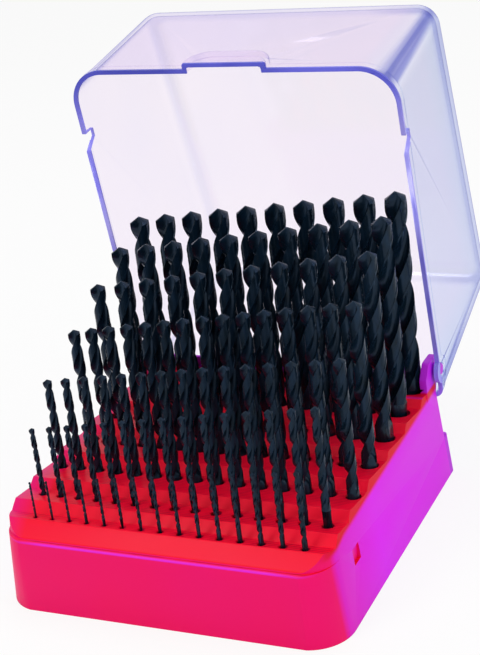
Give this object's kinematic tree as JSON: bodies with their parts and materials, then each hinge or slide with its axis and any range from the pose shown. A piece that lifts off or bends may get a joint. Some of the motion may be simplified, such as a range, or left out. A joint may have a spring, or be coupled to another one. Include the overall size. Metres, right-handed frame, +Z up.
{
  "type": "drill bit case",
  "caption": "Drill bit case: stepped base with upright sockets, filled with twist drills in rows by size, under a clear hinged lid that swings right back.",
  "frame": {"origin": "middle of the base's underside, on the surface it stands on", "axes": "+Z up, +Y from the front of the case to its hinged back, +X to the right seen from the front"},
  "size_m": [0.158, 0.2464, 0.2137],
  "materials": {
    "moulded_base": "moulded polystyrene, satin gloss",
    "clear_lid": "clear moulded polystyrene, polished",
    "black_steel": "black oxide over ground high-speed steel"
  },
  "bodies": {
    "case_base": {"base": "moulded_base", "drills_1_0_to_1_4": "black_steel", "drills_1_5_to_1_9": "black_steel", "drills_2_0_to_2_4": "black_steel", "drills_2_5_to_2_9": "black_steel", "drills_3_0_to_3_4": "black_steel", "drills_3_5_to_3_9": "black_steel", "drills_4_0_to_4_4": "black_steel", "drills_4_5_to_4_9": "black_steel", "drills_5_0_to_5_4": "black_steel", "drills_5_5_to_5_9": "black_steel", "drills_6_0_to_6_4": "black_steel", "drills_6_5_to_6_9": "black_steel", "drill_7_0": "black_steel", "drill_7_1": "black_steel", "drill_7_2": "black_steel", "drill_7_3": "black_steel", "drill_7_4": "black_steel", "drill_7_5": "black_steel", "drill_7_6": "black_steel", "drill_7_7": "black_steel", "drill_7_8": "black_steel", "drill_7_9": "black_steel", "drill_8_0": "black_steel", "drill_8_1": "black_steel", "drill_8_2": "black_steel", "drill_8_3": "black_steel", "drill_8_4": "black_steel", "drill_8_5": "black_steel", "drill_8_6": "black_steel", "drill_8_7": "black_steel", "drill_8_8": "black_steel", "drill_8_9": "black_steel", "drill_9_0": "black_steel", "drill_9_1": "black_steel", "drill_9_2": "black_steel", "drill_9_3": "black_steel", "drill_9_4": "black_steel", "drill_9_5": "black_steel", "drill_9_6": "black_steel", "drill_9_7": "black_steel", "drill_9_8": "black_steel", "drill_9_9": "black_steel", "drill_10_0": "black_steel"},
    "case_lid": {"lid": "clear_lid"}
  },
  "joints": [
    {"name": "lid_hinge", "type": "hinge", "parent": "case_base", "child": "case_lid", "pos_m": [0, 0.0735, 0.054], "axis": [1, 0, 0], "range_deg": [0, 87]}
  ]
}
